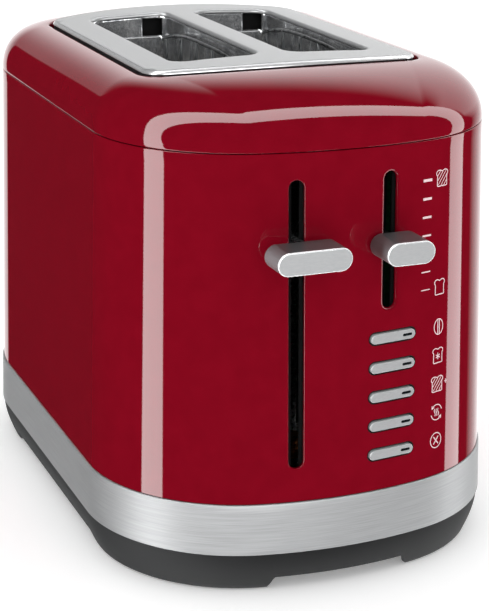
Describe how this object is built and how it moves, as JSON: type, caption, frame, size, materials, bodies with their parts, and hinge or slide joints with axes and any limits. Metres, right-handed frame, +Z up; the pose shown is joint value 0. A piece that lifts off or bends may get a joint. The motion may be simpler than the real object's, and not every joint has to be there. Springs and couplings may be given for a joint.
{
  "type": "pop-up toaster",
  "caption": "Two-slot pop-up toaster with a bowed, domed body, a brushed top plate with long bread slots, a lift lever, a browning slider, push buttons and a crumb tray.",
  "frame": {"origin": "centre of the bounding box in plan, on the table", "axes": "+Z up, +Y from the controls at the front to the crumb tray at the back, +X to the right when facing the controls"},
  "size_m": [0.1722, 0.2778, 0.1996],
  "materials": {
    "red_enamel": "deep gloss",
    "brushed_steel": "brushed",
    "bright_steel": "bright rolled",
    "satin_aluminium": "satin",
    "grey_plastic": "fine texture",
    "black_plastic": "satin",
    "rubber": "matt",
    "mica": null,
    "nichrome": "oxidised ribbon",
    "board": null,
    "copper": null,
    "smoked_lens": "smoked lens"
  },
  "bodies": {
    "housing": {"body_shell": "red_enamel", "top_cap": "red_enamel", "top_plate": "brushed_steel", "slot_liner_left": "bright_steel", "slot_liner_right": "bright_steel", "base_band": "brushed_steel", "base": "grey_plastic", "foot_pad_1": "rubber", "foot_pad_2": "rubber", "foot_pad_3": "rubber", "foot_pad_4": "rubber", "base_screw_1": "bright_steel", "base_screw_2": "bright_steel", "base_screw_3": "bright_steel", "base_screw_4": "bright_steel", "front_end_plate": "bright_steel", "rear_end_plate": "bright_steel", "heat_shield_left": "bright_steel", "heat_shield_right": "bright_steel", "heater_card_left": "mica", "heater_ribbon_left": "nichrome", "heater_card_centre": "mica", "heater_ribbon_centre": "nichrome", "heater_card_right": "mica", "heater_ribbon_right": "nichrome", "guide_rod": "bright_steel", "lift_spring": "bright_steel", "top_bracket": "bright_steel", "magnet_coil": "copper", "magnet_core": "bright_steel", "control_board": "board", "browning_track": "black_plastic", "switch_strip": "black_plastic", "tray_rail_left": "grey_plastic", "tray_rail_right": "grey_plastic", "cord_gland": "black_plastic"},
    "lift": {"lift_knob": "satin_aluminium", "lift_arm": "bright_steel", "carriage": "black_plastic", "bread_rack_left": "bright_steel", "bread_rack_right": "bright_steel", "latch_plate": "bright_steel"},
    "browning_slider": {"browning_knob": "satin_aluminium", "browning_stem": "black_plastic"},
    "button_bagel": {"button_bagel": "satin_aluminium", "lamp_bagel": "smoked_lens"},
    "button_frozen": {"button_frozen": "satin_aluminium", "lamp_frozen": "smoked_lens"},
    "button_extra_time": {"button_extra_time": "satin_aluminium", "lamp_extra_time": "smoked_lens"},
    "button_reheat": {"button_reheat": "satin_aluminium", "lamp_reheat": "smoked_lens"},
    "button_cancel": {"button_cancel": "satin_aluminium", "lamp_cancel": "smoked_lens"},
    "guide_left_a": {"bread_guide_left_a": "bright_steel"},
    "guide_left_b": {"bread_guide_left_b": "bright_steel"},
    "guide_right_a": {"bread_guide_right_a": "bright_steel"},
    "guide_right_b": {"bread_guide_right_b": "bright_steel"},
    "crumb_tray": {"crumb_tray": "bright_steel", "crumb_tray_pull": "brushed_steel"}
  },
  "joints": [
    {"name": "lift", "type": "slide", "parent": "housing", "child": "lift", "axis": [0, 0, 1], "range_m": [-0.0825, 0.0215], "stiffness_N_per_m": 100, "springref_m": 0.006, "deforming": ["lift_spring"]},
    {"name": "browning", "type": "slide", "parent": "housing", "child": "browning_slider", "axis": [0, 0, 1], "range_m": [-0.0219, 0.0219]},
    {"name": "press_bagel", "type": "slide", "parent": "housing", "child": "button_bagel", "axis": [-0.125, 0.9922, 0], "range_m": [0, 0.0012], "stiffness_N_per_m": 500},
    {"name": "press_frozen", "type": "slide", "parent": "housing", "child": "button_frozen", "axis": [-0.1247, 0.9922, 0], "range_m": [0, 0.0012], "stiffness_N_per_m": 500},
    {"name": "press_extra_time", "type": "slide", "parent": "housing", "child": "button_extra_time", "axis": [-0.1244, 0.9922, 0], "range_m": [0, 0.0012], "stiffness_N_per_m": 500},
    {"name": "press_reheat", "type": "slide", "parent": "housing", "child": "button_reheat", "axis": [-0.1242, 0.9923, 0], "range_m": [0, 0.0012], "stiffness_N_per_m": 500},
    {"name": "press_cancel", "type": "slide", "parent": "housing", "child": "button_cancel", "axis": [-0.1239, 0.9923, 0], "range_m": [0, 0.0012], "stiffness_N_per_m": 500},
    {"name": "clamp_left_a", "type": "slide", "parent": "housing", "child": "guide_left_a", "axis": [1, 0, 0], "range_m": [-0.0013, 0.00496]},
    {"name": "clamp_left_b", "type": "slide", "parent": "housing", "child": "guide_left_b", "axis": [1, 0, 0], "range_m": [-0.00496, 0.0013]},
    {"name": "clamp_right_a", "type": "slide", "parent": "housing", "child": "guide_right_a", "axis": [1, 0, 0], "range_m": [-0.0013, 0.00496]},
    {"name": "clamp_right_b", "type": "slide", "parent": "housing", "child": "guide_right_b", "axis": [1, 0, 0], "range_m": [-0.00496, 0.0013]},
    {"name": "tray_slide", "type": "slide", "parent": "housing", "child": "crumb_tray", "axis": [0, 1, 0], "range_m": [0, 0.17]}
  ],
  "couplings": [
    {"joint": "clamp_left_a", "follows": "lift", "ratio": -0.06},
    {"joint": "clamp_left_b", "follows": "lift", "ratio": 0.06},
    {"joint": "clamp_right_a", "follows": "lift", "ratio": -0.06},
    {"joint": "clamp_right_b", "follows": "lift", "ratio": 0.06}
  ]
}
